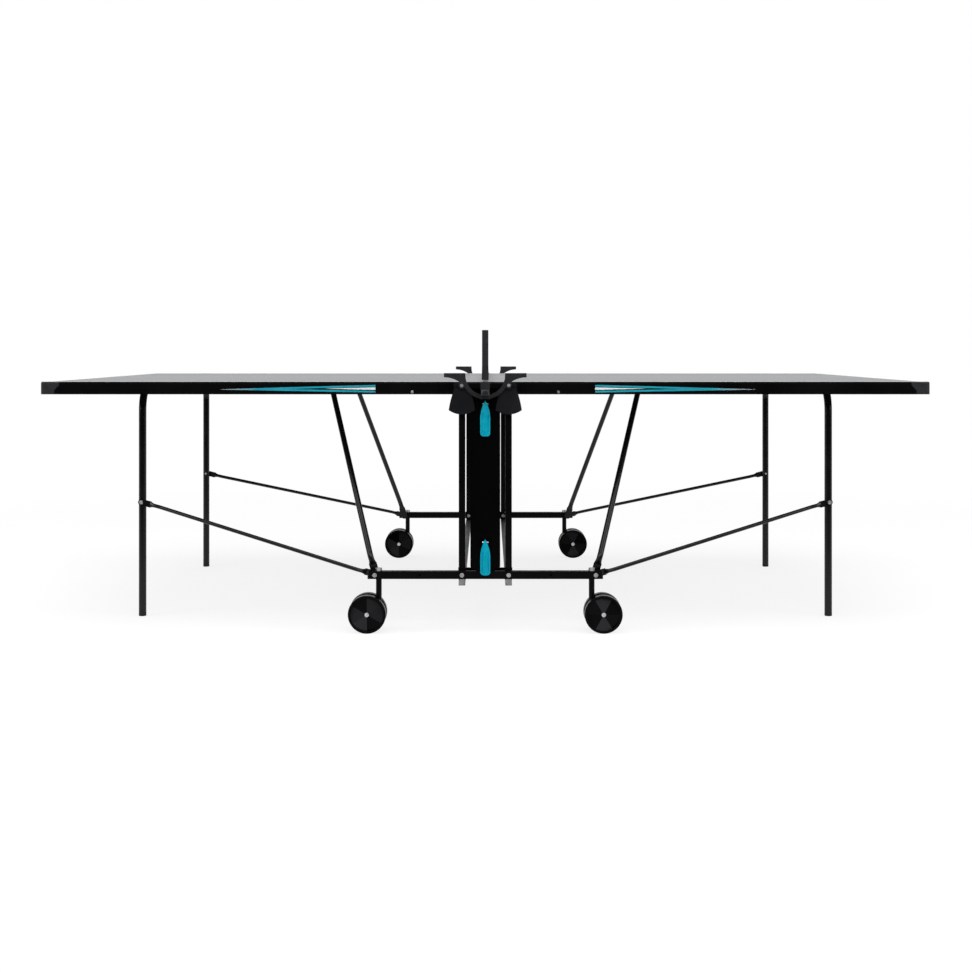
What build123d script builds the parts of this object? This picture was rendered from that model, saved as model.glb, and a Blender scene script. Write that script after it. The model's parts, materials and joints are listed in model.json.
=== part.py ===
from build123d import *
import math
import os

# Folding outdoor table tennis table, in millimetres.
# +X runs along the length, -Y is the side that faces the viewer, Z is up.
# The origin lies on the floor under the middle of the net.
# Pieces are drawn in the +X +Y quarter and mirrored to the other quarters.

# Playing surface and apron
table_length = 2740.0
table_width = 1525.0
table_height = 760.0
centre_gap = 6.0
board_thickness = 5.0
apron_height = 39.0
apron_width = 20.0
apron_wall = 1.5
apron_lip = 6.0
apron_edge_radius = 5.0
cross_rail_x = (300.0, 800.0)
cross_rail_width = 20.0
cross_rail_height = 25.0
guard_length = 44.0
guard_top_length = 59.0
guard_step = 13.0
guard_radius = 14.0
apron_screw_x = 225.0
apron_screw_rise = 7.0

# Fold pivot between each half and its sliding shoe
fold_x = 90.0
fold_depth = 12.0
fold_pin_radius = 5.0
fold_pin_head_radius = 6.0
fold_pin_head = 2.5

# Guide posts, side bars and cross tubes of the chassis
post_x = 71.0
post_size = 20.0
post_wall = 1.5
post_top_below_surface = 3.0
bar_length = 710.0
bar_depth = 20.0
bar_height = 24.0
bar_wall = 2.0
bar_z = 173.5
bar_hole_end = 155.0
bar_hole_radius = 3.0
cross_tube_size = 20.0
cross_tube_overhang = 3.0
plug_head = 3.0
plug_depth = 15.0
plug_corner = 5.0
tie_thickness = 5.0
tie_height = 29.0
tie_overhang = 2.0
upper_tie_height = 16.0
upper_tie_inset = 2.0

# Sliding shoe with its bell shaped cover
shoe_half_width = 18.0
shoe_plate = 12.7
shoe_edge_gap = 1.5
bell_depth = 20.0
bell_height = 78.0
bell_rise = 13.0
bell_half_top = 23.0
bell_half_bottom = 40.0
bell_half_middle = 33.5
bell_thickness = 8.0
bell_gap = 4.0
shoe_ear_radius = 9.0
shoe_ear_drop = 55.0

# Centre panel and its release levers
panel_half_width = 45.5
panel_gap = 3.0
panel_thickness = 12.0
panel_face = 4.0
panel_face_inset = 6.0
panel_depth = 22.0
panel_bottom_gap = 7.0
panel_corner = 9.0
panel_tongue = 54.0
panel_neck = 28.0
panel_neck_drop = 12.0
lever_width = 30.6
lever_length = 108.0
lever_thickness = 15.0
lever_side = 8.0
lever_crown = 11.0
lever_point = 56.0
lever_foot = 9.0
lever_ramp = 42.0
lever_ramp_depth = 4.0
lever_groove_radius = 2.2
lever_groove_x = 8.6
lever_groove_margin = 14.0
lever_pivot_drop = 9.0
upper_lever_depth = 56.0
lower_lever_rise = 97.5
lever_pin_radius = 2.5
lever_pin_length = 28.0
lever_well_margin = 4.0
lever_ear = 4.5
lever_ear_half_height = 6.0
lever_back_gap = 2.0

# U shaped bridge with its two horns, and the net clamp
bridge_thickness = 12.0
bridge_gap = 2.0
arc_rise = 21.0
arc_inner = 60.0
arc_outer = 72.0
horn_rise = 27.5
horn_tip_x = 125.0
horn_tip = 12.5
horn_root_turn = 60.0
horn_middle = 0.53
horn_middle_depth = 15.8
horn_rib = 3.0
horn_pocket = 2.5
horn_pocket_start = 12.0
bridge_bolt_depth = 9.5
bridge_boss_radius = 10.5
bridge_bolt_head_radius = 5.0
bridge_pad_half = 17.0
bridge_pad_depth = 37.0
channel_width = 25.0
channel_height = 17.0
channel_wall = 2.5
knob_radius = 8.7
knob_length = 15.0
knob_shaft_radius = 3.0
knob_depth = 30.0

# Net and its posts
net_overhang = 152.5
net_height = 152.5
net_thickness = 1.2
net_tape_height = 15.0
net_tape_thickness = 3.0
net_floor_gap = 2.0
net_columns = 40
net_rows = 5
net_strand = 3.0
net_post_width = 19.0
net_post_flare = 21.5
net_post_flare_height = 55.0
net_post_depth = 22.0
net_post_above_net = 4.5
net_post_corner = 4.0
net_base_width = 28.0
net_base_depth = 36.0

# End legs, support frames and braces
leg_x = 1106.0
leg_y = 539.0
leg_radius = 12.0
leg_wall = 1.5
leg_bend = 75.0
leg_hinge_depth = 22.0
foot_height = 12.0
foot_spigot = 30.0
support_x = 508.0
support_y = 420.0
support_hinge_depth = 25.0
support_radius = 9.0
support_wall = 1.5
support_bend = 60.0
support_kink = 36.0
pivot_end = 19.0
support_inset = 22.0
paddle_width = 24.0
paddle_thickness = 5.0
bush_radius = 8.0
brace_radius = 6.0
brace_wall = 1.2
brace_kink = 60.0
brace_bolt_z = 368.0
brace_washer = 3.0
brace_washer_radius = 8.0
eye_width = 20.0
eye_thickness = 5.0
flat_length = 28.0
flat_taper = 14.0
hinge_block_length = 34.0
hinge_block_width = 30.0
hinge_block_wall = 5.0
support_block_y = 330.0
leg_block_y = 400.0

# Casters with twin discs
caster_end = 31.0
caster_trail = 34.0
wheel_radius = 57.5
wheel_width = 26.0
wheel_gap = 24.0
wheel_rim = 8.0
wheel_edge = 3.0
wheel_fold = 7.0
wheel_dish = 1.0
wheel_hub_radius = 14.0
wheel_hub = 3.0
wheel_turns = (90.0, 60.0)
axle_radius = 5.0
axle_head_radius = 6.5
axle_head = 2.5
arm_thickness = 17.0
arm_axle_radius = 16.0
arm_stem_radius = 12.0
stem_radius = 8.75
spigot_radius = 5.0
spigot_depth = 60.0
nut_across = 17.0
nut_height = 9.0

# Fasteners and fits
bolt_radius = 4.0
bolt_head_radius = 6.5
bolt_head = 4.5
screw_radius = 2.5
screw_head_radius = 4.5
screw_head = 2.0
run_clearance = 0.05
seat_clearance = 0.3
cut_margin = 1.0

# Places along the side bars, from their ends
pivot_x = bar_length / 2 - pivot_end
caster_x = bar_length / 2 - caster_end
bar_hole_x = bar_length / 2 - bar_hole_end

# Planes across the width, from the table edge outwards
half_edge = table_width / 2
shoe_inner = half_edge + shoe_edge_gap
post_inner = shoe_inner + shoe_plate + seat_clearance
post_outer = post_inner + post_size
bar_inner = post_outer
bar_y = bar_inner + bar_depth / 2
bar_outer = bar_inner + bar_depth
panel_back = post_outer + panel_gap
panel_front = panel_back + panel_thickness + panel_face
bell_back = panel_front + bell_gap
bell_front = bell_back + bell_thickness
bridge_back = bell_front + bridge_gap
bridge_front = bridge_back + bridge_thickness
net_post_y = half_edge + net_overhang

# Heights
surface_z = table_height
board_under = surface_z - board_thickness
apron_bottom = surface_z - apron_height
fold_z = surface_z - fold_depth
leg_hinge_z = surface_z - leg_hinge_depth
support_z = surface_z - support_hinge_depth
post_top = surface_z - post_top_below_surface
bar_top = bar_z + bar_height / 2
bar_bottom = bar_z - bar_height / 2
cross_tube_z = bar_bottom - cross_tube_size / 2
apron_screw_z = apron_bottom + apron_screw_rise
bell_top = surface_z - bell_depth
bell_bottom = bell_top - bell_height
panel_top = surface_z - panel_depth
lever_tops = (surface_z - upper_lever_depth, bar_top + lower_lever_rise)
arc_z = surface_z + arc_rise
horn_top = surface_z + horn_rise
bridge_bolt_z = surface_z - bridge_bolt_depth
bridge_pad_z = surface_z - bridge_pad_depth
knob_z = surface_z - knob_depth
net_top = surface_z + net_height
channel_top = bridge_pad_z + channel_height

# Length of a pressed tube end, from the centre of its eye to the full tube
taper_end = flat_length + flat_taper


def flip_x(piece):
    return mirror(piece, about=Plane.YZ)


def flip_y(piece):
    return mirror(piece, about=Plane.XZ)


def both_x(piece):
    return [piece, flip_x(piece)]


def both_y(piece):
    return [piece, flip_y(piece)]


def quarters(piece):
    return both_x(piece) + both_x(flip_y(piece))


def slab(outline, y_from, y_to):
    """Solid of an outline drawn in X and Z, between two planes across the width."""
    return Pos(0, y_to, 0) * extrude(Plane.XZ * outline, amount=y_to - y_from)


def rod_y(radius, x, z, y_from, y_to):
    """Round rod across the width."""
    return slab(Pos(x, z) * Circle(radius), y_from, y_to)


def rod_z(radius, x, y, z_from, z_to):
    """Upright round rod."""
    return Pos(x, y, (z_from + z_to) / 2) * Cylinder(radius, z_to - z_from)


def box(x_from, x_to, y_from, y_to, z_from, z_to):
    """Box between six planes."""
    size = Box(x_to - x_from, y_to - y_from, z_to - z_from)
    return Pos((x_from + x_to) / 2, (y_from + y_to) / 2, (z_from + z_to) / 2) * size


def square_tube(x_from, x_to, y_from, y_to, z_from, z_to, wall, along):
    """Rectangular tube, open along one axis."""
    grow = [cut_margin if axis == along else -wall for axis in "xyz"]
    bore = box(
        x_from - grow[0], x_to + grow[0],
        y_from - grow[1], y_to + grow[1],
        z_from - grow[2], z_to + grow[2],
    )
    return box(x_from, x_to, y_from, y_to, z_from, z_to) - bore


def bent_tube(points, radii, radius, wall):
    """Round tube along straight runs joined by bends."""
    path = FilletPolyline(*points, radius=radii)
    ring = Circle(radius) - Circle(radius - wall)
    return sweep(Plane(origin=path @ 0, z_dir=path % 0) * ring, path=path)


def flat_end(x, y, z, towards, radius, width, thickness, shift=0.0):
    """Tube end pressed flat into a round eye at x, y, z, with the tube shifted across the width."""
    def across(distance, aside=0.0):
        origin = Vector(x, y + aside, z) + towards * distance
        return Plane(origin=origin, x_dir=(0, 1, 0), z_dir=towards)

    taper = loft([
        across(flat_length) * Ellipse(thickness / 2, width / 2),
        across(taper_end, shift) * Circle(radius),
    ])
    turn = math.degrees(math.atan2(towards.Z, towards.X))
    reach = flat_length + flat_taper / 3
    tongue = Pos(x, z) * Rot(0, 0, turn) * Pos(reach / 2, 0) * Rectangle(reach, width)
    eye = tongue + Pos(x, z) * Circle(width / 2)
    return slab(eye, y - thickness / 2, y + thickness / 2) + taper


def solids_of(pieces):
    return [solid for piece in pieces for solid in piece.solids()]


nodes = {}


def node(name, *pieces):
    """Keep the solids of one named piece or group of alike pieces."""
    nodes[name] = Compound(children=solids_of(pieces), label=name)


# Chassis: side bars, guide posts, cross tubes and what closes them
bar = square_tube(
    -bar_length / 2, bar_length / 2, bar_inner, bar_outer, bar_bottom, bar_top, bar_wall, "x",
)
bolt_bore = bolt_radius + run_clearance
for side in (-1, 1):
    for x in (pivot_x, post_x):
        bar -= rod_y(bolt_bore, side * x, bar_z, bar_inner - cut_margin, bar_outer + cut_margin)
    bar -= rod_y(
        bar_hole_radius, side * bar_hole_x, bar_z, bar_y, bar_outer + cut_margin,
    )
    bar -= rod_z(
        spigot_radius + run_clearance, side * caster_x, bar_y,
        bar_bottom - cut_margin, bar_top + cut_margin,
    )
node("near_side_bar", flip_y(bar))
node("far_side_bar", bar)

bar_cap = box(
    bar_length / 2, bar_length / 2 + plug_head, bar_inner, bar_outer, bar_bottom, bar_top,
)
bar_cap = fillet(bar_cap.faces().sort_by(Axis.X)[-1].edges(), plug_head / 2)
bar_cap += box(
    bar_length / 2 - plug_depth, bar_length / 2,
    bar_inner + bar_wall + run_clearance, bar_outer - bar_wall - run_clearance,
    bar_bottom + bar_wall + run_clearance, bar_top - bar_wall - run_clearance,
)
node("bar_end_caps", *quarters(bar_cap))

post = square_tube(
    post_x - post_size / 2, post_x + post_size / 2, post_inner, post_outer,
    bar_bottom, post_top, post_wall, "z",
)
post -= rod_y(bolt_bore, post_x, bar_z, post_inner - cut_margin, post_outer + cut_margin)
post -= rod_y(bolt_bore, post_x, bridge_bolt_z, post_inner - cut_margin, post_outer + cut_margin)
node("near_guide_posts", *both_x(flip_y(post)))
node("far_guide_posts", *both_x(post))

cross_tube_end = bar_outer - cross_tube_overhang
cross_tube = square_tube(
    post_x - cross_tube_size / 2, post_x + cross_tube_size / 2, -cross_tube_end, cross_tube_end,
    cross_tube_z - cross_tube_size / 2, cross_tube_z + cross_tube_size / 2, post_wall, "y",
)
node("cross_tubes", *both_x(cross_tube))

plug_half = cross_tube_size / 2 - post_wall - run_clearance
plug = box(
    post_x - cross_tube_size / 2, post_x + cross_tube_size / 2,
    cross_tube_end, cross_tube_end + plug_head,
    cross_tube_z - cross_tube_size / 2, cross_tube_z + cross_tube_size / 2,
)
plug = fillet(plug.edges().filter_by(Axis.Y), plug_corner)
plug = fillet(plug.faces().sort_by(Axis.Y)[-1].edges(), plug_head / 2)
plug += box(
    post_x - plug_half, post_x + plug_half, cross_tube_end - plug_depth, cross_tube_end,
    cross_tube_z - plug_half, cross_tube_z + plug_half,
)
node("cross_tube_plugs", *quarters(plug))

tie_half = post_x + post_size / 2 + tie_overhang
tie = box(
    -tie_half, tie_half, post_inner - tie_thickness, post_inner,
    bar_bottom, bar_bottom + tie_height,
)
for side in (-1, 1):
    tie -= rod_y(
        bolt_bore, side * post_x, bar_z, post_inner - tie_thickness - cut_margin,
        post_inner + cut_margin,
    )
upper_half = post_x - post_size / 2
upper_tie = box(
    -upper_half, upper_half, post_inner + upper_tie_inset, post_outer - upper_tie_inset,
    post_top - upper_tie_height, post_top,
)
node("post_ties", *both_y(tie), *both_y(upper_tie))

# Bridge: a U that the net passes through, with a horn and a boss at each post
ring = Pos(0, arc_z) * (Circle(arc_outer) - Circle(arc_inner))
ring &= Pos(0, arc_z - arc_outer / 2) * Rectangle(2 * arc_outer, arc_outer)
root_turn = math.radians(horn_root_turn)
root_x = post_x + bridge_boss_radius * math.cos(root_turn)
root_z = bridge_bolt_z + bridge_boss_radius * math.sin(root_turn)
middle_x = root_x + (horn_tip_x - root_x) * horn_middle
middle_z = horn_top - horn_middle_depth
horn = make_face([
    Line((arc_inner, bridge_bolt_z), (arc_inner, horn_top)),
    Line((arc_inner, horn_top), (horn_tip_x, horn_top)),
    Line((horn_tip_x, horn_top), (horn_tip_x, horn_top - horn_tip)),
    ThreePointArc(
        (horn_tip_x, horn_top - horn_tip),
        (middle_x, middle_z),
        (root_x, root_z),
    ),
    Line((root_x, root_z), (post_x, bridge_bolt_z)),
    Line((post_x, bridge_bolt_z), (arc_inner, bridge_bolt_z)),
])
boss = Pos(post_x, bridge_bolt_z) * Circle(bridge_boss_radius)
pad_low = arc_z - arc_outer
pad = Pos(0, (pad_low + bridge_pad_z) / 2) * Rectangle(
    2 * bridge_pad_half, bridge_pad_z - pad_low,
)
outline = ring + pad + horn + boss + mirror(horn, about=Plane.YZ) + mirror(boss, about=Plane.YZ)
bridge = slab(outline, bridge_back, bridge_front)
pocket_start = root_x + horn_pocket_start
pocket_end = horn_tip_x - horn_rib
pocket_top = horn_top - horn_rib
pocket_outline = Polygon(
    (pocket_start, pocket_top), (pocket_end, pocket_top),
    (pocket_end, horn_top - horn_tip + horn_rib), (middle_x, middle_z + horn_rib),
    (pocket_start, (middle_z + root_z) / 2 + horn_rib), align=None,
)
pocket = slab(pocket_outline, bridge_front - horn_pocket, bridge_front + cut_margin)
bridge -= pocket
bridge -= flip_x(pocket)
for side in (-1, 1):
    bridge += rod_y(bridge_boss_radius, side * post_x, bridge_bolt_z, post_outer, bridge_back)
    bridge -= rod_y(
        bolt_bore, side * post_x, bridge_bolt_z, post_outer - cut_margin,
        bridge_front + cut_margin,
    )
node("near_bridge", flip_y(bridge))
node("far_bridge", bridge)

# Centre panel: stands on the side bar and leans on the back of the bridge
panel_bottom = bar_top + panel_bottom_gap
panel_mid = (panel_bottom + panel_top) / 2


def panel_outline(inset):
    width = 2 * (panel_half_width - inset)
    height = panel_top - panel_bottom - 2 * inset
    upright = Pos(0, panel_mid) * RectangleRounded(width, height, panel_corner)
    return upright - Pos(0, arc_z) * Circle((arc_inner + arc_outer) / 2 + inset)


panel = slab(panel_outline(0), panel_back, panel_front - panel_face)
panel += slab(panel_outline(panel_face_inset), panel_front - panel_face, panel_front)
panel += box(
    -panel_tongue / 2, panel_tongue / 2, panel_back, panel_front - panel_face,
    bar_top, panel_bottom + panel_corner,
)
panel += box(
    -panel_neck / 2, panel_neck / 2, panel_back, bridge_back,
    arc_z - arc_outer - panel_neck_drop, bridge_pad_z,
)
lever_back = panel_front + lever_back_gap
lever_axis_y = lever_back + lever_thickness / 2
ear_in = lever_pin_length / 2 - lever_ear
for lever_top in lever_tops:
    lever_axis_z = lever_top - lever_pivot_drop
    well_half = lever_width / 2 + lever_well_margin
    well_low = lever_top - lever_length - lever_well_margin
    panel -= box(
        -well_half, well_half, panel_front - panel_face,
        lever_back + lever_thickness + lever_well_margin,
        well_low, lever_top + lever_well_margin,
    )
    for side in (-1, 1):
        ear = box(
            ear_in, ear_in + lever_ear, panel_front - panel_face,
            lever_axis_y + lever_ear_half_height,
            lever_axis_z - lever_ear_half_height, lever_axis_z + lever_ear_half_height,
        )
        panel += ear if side > 0 else flip_x(ear)
    panel -= Pos(0, lever_axis_y, lever_axis_z) * Rot(0, 90, 0) * Cylinder(
        lever_pin_radius + run_clearance, lever_pin_length + 2 * cut_margin,
    )
node("near_centre_panel", flip_y(panel))
node("far_centre_panel", panel)


def lever(lever_top):
    """Release lever: pointed top that slopes back, straight sides, blunt foot, two finger grooves."""
    half = lever_width / 2
    low = lever_top - lever_length
    shoulder = lever_top - lever_point
    front = lever_back + lever_thickness
    bow = (lever_point ** 2 + half ** 2) / (2 * half)
    middle = half - bow + math.sqrt(bow ** 2 - (lever_point / 2) ** 2)
    corner = lever_foot * (1 - math.sqrt(0.5))
    right_side = [
        ThreePointArc((0, lever_top), (middle, lever_top - lever_point / 2), (half, shoulder)),
        Line((half, shoulder), (half, low + lever_foot)),
        ThreePointArc(
            (half, low + lever_foot), (half - corner, low + corner), (half - lever_foot, low),
        ),
        Line((half - lever_foot, low), (0, low)),
        Line((0, low), (0, lever_top)),
    ]
    right_face = make_face(right_side)
    face = right_face + mirror(right_face, about=Plane.YZ)
    section = Polygon(
        (-half, lever_back), (half, lever_back), (half, lever_back + lever_side),
        (lever_crown / 2, front), (-lever_crown / 2, front), (-half, lever_back + lever_side),
        align=None,
    )
    body = slab(face, lever_back, front)
    body &= Pos(0, 0, low) * extrude(section, amount=lever_length)
    ramp_outline = Polygon(
        (front, lever_top - lever_ramp), (front + lever_side, lever_top - lever_ramp),
        (front + lever_side, lever_top), (front - lever_ramp_depth, lever_top), align=None,
    )
    body -= extrude(Plane.YZ * ramp_outline, amount=half, both=True)
    slope = (lever_thickness - lever_side) / (half - lever_crown / 2)
    groove_y = front - slope * (lever_groove_x - lever_crown / 2)
    groove_top = lever_top - lever_ramp
    groove_low = low + lever_groove_margin
    groove = rod_z(lever_groove_radius, lever_groove_x, groove_y, groove_low, groove_top)
    for z in (groove_low, groove_top):
        groove += Pos(lever_groove_x, groove_y, z) * Sphere(lever_groove_radius)
    body -= groove
    body -= flip_x(groove)
    bore = Pos(0, lever_axis_y, lever_top - lever_pivot_drop) * Rot(0, 90, 0) * Cylinder(
        lever_pin_radius + run_clearance, lever_width,
    )
    return body - bore


for level, lever_top in zip(("upper", "lower"), lever_tops):
    node(f"near_{level}_lever", flip_y(lever(lever_top)))
    node(f"far_{level}_lever", lever(lever_top))

# Net clamp: an upside down channel on the bridge, closed at its outer end by a plate
channel_end = net_post_y + net_post_depth / 2
channel_half = channel_width / 2
channel = box(
    -channel_half, channel_half, panel_back, channel_end, bridge_pad_z, channel_top,
)
channel -= box(
    -channel_half + channel_wall, channel_half - channel_wall,
    panel_back - cut_margin, channel_end - channel_wall,
    bridge_pad_z - cut_margin, channel_top - channel_wall,
)
channel -= rod_y(
    knob_shaft_radius + run_clearance, 0, knob_z, channel_end - 2 * channel_wall,
    channel_end + cut_margin,
)
node("net_clamps", *both_y(channel))

knob_start = channel_end + seat_clearance
knob = rod_y(knob_radius, 0, knob_z, knob_start, knob_start + knob_length)
knob = fillet(knob.faces().sort_by(Axis.Y)[-1].edges(), knob_radius / 4)
knob += rod_y(knob_shaft_radius, 0, knob_z, channel_end - 6 * channel_wall, knob_start)
node("near_net_knob", flip_y(knob))
node("far_net_knob", knob)

net_post = box(
    -net_base_width / 2, net_base_width / 2,
    net_post_y - net_base_depth / 2, channel_end, channel_top, surface_z,
)
stalk_top = net_top + net_post_above_net
flare_top = surface_z + net_post_flare_height
stalk_section = RectangleRounded(net_post_width, net_post_depth, net_post_corner)
stalk = Pos(0, net_post_y, flare_top) * extrude(stalk_section, amount=stalk_top - flare_top)
stalk += loft([
    Pos(0, net_post_y, surface_z) * RectangleRounded(
        net_post_flare, net_post_depth, net_post_corner,
    ),
    Pos(0, net_post_y, flare_top) * stalk_section,
])
stalk = fillet(stalk.faces().sort_by(Axis.Z)[-1].edges(), net_post_corner / 2)
net_post += stalk
node("near_net_post", flip_y(net_post))
node("far_net_post", net_post)

net_half = net_post_y - net_post_depth / 2
net_low = surface_z + net_floor_gap
tape_low = net_top - net_tape_height
net_column = 2 * net_half / net_columns
net_row = (tape_low - net_low) / net_rows
net_sheet = Rectangle(2 * net_half, tape_low - net_low)
net_sheet -= GridLocations(net_column, net_row, net_columns, net_rows) * Rectangle(
    net_column - net_strand, net_row - net_strand,
)
net_sheet = Plane.YZ * net_sheet
net_lift = Pos(-net_thickness / 2, 0, (net_low + tape_low) / 2)
node("net_mesh", net_lift * extrude(net_sheet, amount=net_thickness))
node("net_tape", box(
    -net_tape_thickness / 2, net_tape_thickness / 2, -net_half, net_half, tape_low, net_top,
))

# Chassis fasteners: pivot bolts, post bolts, bridge bolts, lever pins and caster spigots
eye_outer = bar_inner - seat_clearance
eye_y = eye_outer - eye_thickness / 2
pivot_bolt = rod_y(bolt_radius, pivot_x, bar_z, bar_inner, bar_outer)
pivot_bolt += rod_y(bolt_head_radius, pivot_x, bar_z, bar_outer, bar_outer + bolt_head)
post_bolt = rod_y(bolt_radius, post_x, bar_z, post_inner - tie_thickness, bar_outer)
post_bolt += rod_y(bolt_head_radius, post_x, bar_z, bar_outer, bar_outer + bolt_head)
post_bolt += rod_y(
    bolt_head_radius, post_x, bar_z, post_inner - tie_thickness - bolt_head,
    post_inner - tie_thickness,
)
bridge_bolt = rod_y(bolt_radius, post_x, bridge_bolt_z, post_inner, bridge_front)
bridge_bolt += rod_y(
    bridge_bolt_head_radius, post_x, bridge_bolt_z, bridge_front, bridge_front + bolt_head,
)
lever_pins = [
    Pos(0, lever_axis_y, lever_top - lever_pivot_drop) * Rot(0, 90, 0) * Cylinder(
        lever_pin_radius, lever_pin_length,
    )
    for lever_top in lever_tops
]
spigot = rod_z(spigot_radius, caster_x, bar_y, bar_bottom - spigot_depth, bar_top)
spigot += Pos(caster_x, bar_y, bar_top) * extrude(
    RegularPolygon(nut_across / 2, 6, major_radius=False), amount=nut_height,
)
fasteners = []
for bolt in (pivot_bolt, post_bolt, bridge_bolt, spigot):
    fasteners += quarters(bolt)
for pin in lever_pins:
    fasteners += both_y(pin)
node("chassis_fasteners", *fasteners)

# Casters: a stem and arm on each spigot, and two discs fixed to one axle
axle_x = caster_x + caster_trail
stem_top = bar_bottom - seat_clearance
arm_circles = [
    Pos(axle_x, wheel_radius) * Circle(arm_axle_radius),
    Pos(caster_x, wheel_radius + arm_axle_radius) * Circle(arm_stem_radius),
]
arm_outline = make_hull([edge for circle in arm_circles for edge in circle.edges()])
fork = slab(arm_outline, bar_y - arm_thickness / 2, bar_y + arm_thickness / 2)
fork += rod_z(stem_radius, caster_x, bar_y, wheel_radius + arm_axle_radius, stem_top)
fork -= rod_z(
    spigot_radius + run_clearance, caster_x, bar_y,
    bar_bottom - spigot_depth - seat_clearance, stem_top + cut_margin,
)
fork -= rod_y(
    axle_radius + run_clearance, axle_x, wheel_radius, bar_y - arm_thickness,
    bar_y + arm_thickness,
)


def fold_cut(turn):
    """One valley of the folded wheel face: a flat wedge that deepens outwards."""
    reach = 2 * wheel_radius
    left = math.radians(turn - 60)
    right = math.radians(turn + 60)
    middle = math.radians(turn)
    centre = (0, 0, 0)
    first = (reach * math.cos(left), reach * math.sin(left), 0)
    second = (reach * math.cos(right), reach * math.sin(right), 0)
    depth = wheel_fold * reach / (wheel_radius - wheel_rim)
    valley = (reach * math.cos(middle), reach * math.sin(middle), -depth)
    corners = [(centre, second, first), (centre, first, valley)]
    corners += [(centre, valley, second), (first, second, valley)]
    return Solid(Shell([Face(Wire.make_polygon(corner)) for corner in corners]))


def disc(turn):
    """Wheel disc on the Z axis with its folded face at the top."""
    body = Pos(0, 0, -wheel_width / 2) * Cylinder(wheel_radius, wheel_width)
    body = fillet(body.edges().filter_by(GeomType.CIRCLE), wheel_edge)
    well = Pos(0, 0, -wheel_width / 2) * Cylinder(wheel_radius - wheel_rim, wheel_width)
    for step in range(3):
        body -= (Pos(0, 0, -wheel_dish) * fold_cut(turn + 120 * step)) & well
    body -= Pos(0, 0, -wheel_dish / 2) * Cylinder(wheel_radius - wheel_rim, wheel_dish)
    body += Pos(0, 0, -wheel_width - wheel_hub / 2) * Cylinder(wheel_hub_radius, wheel_hub)
    bore = Cylinder(axle_radius + run_clearance, 3 * wheel_width)
    return body - bore


disc_face = bar_y + wheel_gap / 2 + wheel_width
disc_back = bar_y - wheel_gap / 2 - wheel_width


def disc_pair(turn):
    """Outer and inner disc of one caster."""
    return [
        Pos(axle_x, disc_face, wheel_radius) * Rot(-90, 0, 0) * disc(turn),
        Pos(axle_x, disc_back, wheel_radius) * Rot(90, 0, 0) * disc(turn),
    ]


discs = {"left": disc_pair(wheel_turns[0]), "right": disc_pair(wheel_turns[1])}
axle = rod_y(axle_radius, axle_x, wheel_radius, disc_back + wheel_dish, disc_face - wheel_dish)
axle += rod_y(
    axle_head_radius, axle_x, wheel_radius, disc_face - wheel_dish,
    disc_face - wheel_dish + axle_head,
)
axle += rod_y(
    axle_head_radius, axle_x, wheel_radius, disc_back + wheel_dish - axle_head,
    disc_back + wheel_dish,
)
for side, put_side in (("far", lambda piece: piece), ("near", flip_y)):
    for end, put_end in (("right", lambda piece: piece), ("left", flip_x)):
        node(f"{side}_{end}_caster_fork", put_side(put_end(fork)))
        node(f"{side}_{end}_wheels", *[put_side(put_end(piece)) for piece in discs[end]])
        node(f"{side}_{end}_axle", put_side(put_end(axle)))

# Table half: board in a hollow apron, corner guards, cross rails and hinge blocks
half_inner = centre_gap / 2
half_outer = table_length / 2
seat = apron_height - board_thickness
section_sharp = Polygon(
    (0, 0), (0, apron_height), (-apron_lip, apron_height), (-apron_lip, seat),
    (-apron_width, seat), (-apron_width, 0), align=None,
)
section_outline = fillet(
    section_sharp.vertices().sort_by(Axis.Y)[-2:].sort_by(Axis.X)[-1], apron_edge_radius,
)
section_bore = Polygon(
    (-apron_wall, apron_wall), (-apron_wall, seat - apron_wall),
    (apron_wall - apron_width, seat - apron_wall), (apron_wall - apron_width, apron_wall),
    align=None,
)


def side_rail(section):
    placed = Pos(half_inner, half_edge, apron_bottom) * (Plane.YZ * section)
    return extrude(placed, amount=half_outer - half_inner)


def end_rail(section):
    span = half_edge - apron_width
    placed = Pos(half_outer, span, apron_bottom) * (Plane.XZ * section)
    return extrude(placed, amount=2 * span)


def corner_run(section):
    placed = Pos(half_outer, half_edge, apron_bottom) * (Plane.XZ * section)
    return extrude(placed, amount=guard_top_length)


guard_outline = Polygon(
    (0, 0), (0, apron_height), (-guard_top_length, apron_height),
    (-guard_top_length, guard_step + guard_top_length - guard_length),
    (-guard_length, guard_step), (-guard_length, 0), align=None,
)
guard_on_side = extrude(
    Pos(half_outer, half_edge, apron_bottom) * (Plane.XZ * guard_outline), amount=apron_width,
)
guard_on_end = extrude(
    Pos(half_outer - apron_width, half_edge, apron_bottom) * (Plane.YZ * guard_outline),
    amount=apron_width,
)
guard = side_rail(section_sharp) & guard_on_side
guard += corner_run(section_sharp) & guard_on_end
corner_post = box(
    half_outer - apron_width, half_outer, half_edge - apron_width, half_edge,
    apron_bottom, surface_z,
)
board_half_width = half_edge - apron_lip
board_outer = half_outer - apron_lip
board_inner = half_inner + apron_lip
board = box(
    board_inner, board_outer, -board_half_width, board_half_width, board_under, surface_z,
)
board = fillet(
    board.edges().filter_by(Axis.Z).group_by(Axis.X)[-1], guard_radius - apron_lip,
)
guard += corner_post
guard = fillet(
    guard.edges().filter_by(Axis.Z).filter_by(
        lambda edge: edge.center().X > half_outer - cut_margin
        and edge.center().Y > half_edge - cut_margin
    ),
    guard_radius,
)
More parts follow.
